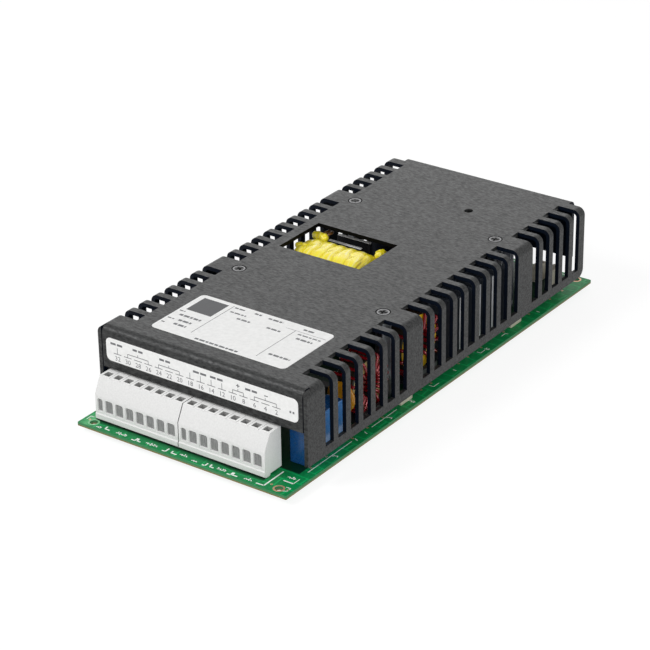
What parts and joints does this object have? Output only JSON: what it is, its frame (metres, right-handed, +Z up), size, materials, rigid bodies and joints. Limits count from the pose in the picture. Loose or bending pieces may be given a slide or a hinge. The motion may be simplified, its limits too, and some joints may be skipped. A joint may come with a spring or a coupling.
{
  "type": "dc-dc converter",
  "caption": "Open-frame DC/DC converter: a long circuit board under a folded black cover with side vent slots and a top window, with grey screw terminals along one end.",
  "frame": {"origin": "on the surface it rests on, under the middle of the board", "axes": "+X across the board, -Y towards the terminals, +Z up through the cover's top"},
  "size_m": [0.1, 0.22, 0.0404],
  "materials": {
    "board_green": "satin solder mask over glass-epoxy laminate",
    "cover_black": "matt black coated sheet",
    "steel_black": "blackened steel",
    "steel_bright": "zinc-plated steel",
    "terminal_grey": "moulded pale grey polyamide",
    "tinned_metal": "tinned metal",
    "label_white": "satin white label",
    "ferrite_dark": "ground ferrite",
    "plastic_black": "moulded black plastic",
    "tape_yellow": "polyester tape",
    "wire_red": "enamelled copper wire",
    "core_yellow": "coated iron powder",
    "film_blue": "moulded blue box",
    "disc_amber": "dipped ceramic disc",
    "sink_black": "black anodised extrusion",
    "sleeve_dark": "shrunk sleeve over an aluminium can",
    "can_bare": "bare can end",
    "fuse_glass": "clear glass tube",
    "plastic_pale": "moulded pale plastic",
    "print_dark": "printed ink",
    "print_white": "screen print on the board",
    "copper_pad": "bare copper pad"
  },
  "bodies": {
    "root": {"board": "board_green", "cover": "cover_black", "cover_screws": "steel_black", "pillars": "steel_bright", "pillar_screws": "steel_bright", "terminal_left": "terminal_grey", "terminal_right": "terminal_grey", "terminal_screws": "steel_bright", "terminal_clamps": "tinned_metal", "terminal_pins": "tinned_metal", "top_label": "label_white", "front_label": "label_white", "transformer_core": "ferrite_dark", "transformer_bobbin": "plastic_black", "transformer_winding": "tape_yellow", "choke_core": "core_yellow", "choke_winding": "wire_red", "filter_core": "core_yellow", "filter_winding": "wire_red", "choke_bases": "plastic_black", "line_capacitor": "film_blue", "disc_capacitor": "disc_amber", "heat_sink": "sink_black", "power_devices": "plastic_black", "device_screws": "steel_bright", "lead_wires": "tinned_metal", "input_cans": "sleeve_dark", "output_cans": "sleeve_dark", "can_ends": "can_bare", "fuse_tube": "fuse_glass", "fuse_clips": "tinned_metal", "diode_sink": "sink_black", "rectifier": "plastic_black", "control_chips": "plastic_black", "pale_capacitors": "plastic_pale", "edge_clips": "tinned_metal", "solder_joints": "tinned_metal"}
  },
  "joints": []
}
